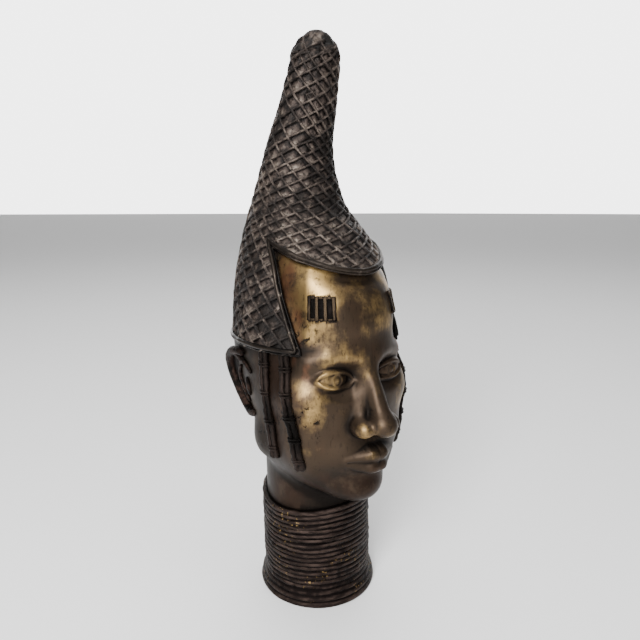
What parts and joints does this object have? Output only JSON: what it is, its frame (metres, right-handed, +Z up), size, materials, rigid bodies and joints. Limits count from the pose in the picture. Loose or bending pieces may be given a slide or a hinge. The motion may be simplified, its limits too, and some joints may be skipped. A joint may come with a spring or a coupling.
{
  "type": "commemorative bronze head",
  "caption": "Cast bronze head of a calm woman in a tall forward-curling latticed cap, with a ringed collar that stands on its flat underside.",
  "frame": {"origin": "middle of the flat underside of the collar", "axes": "+Z up along the neck, -Y the way the face looks, +X towards the figure's left"},
  "size_m": [0.1262, 0.1675, 0.4239],
  "materials": {
    "bronze": "dark brown patina with polished gold-brown high places"
  },
  "bodies": {
    "root": {"bronze_head": "bronze"}
  },
  "joints": []
}
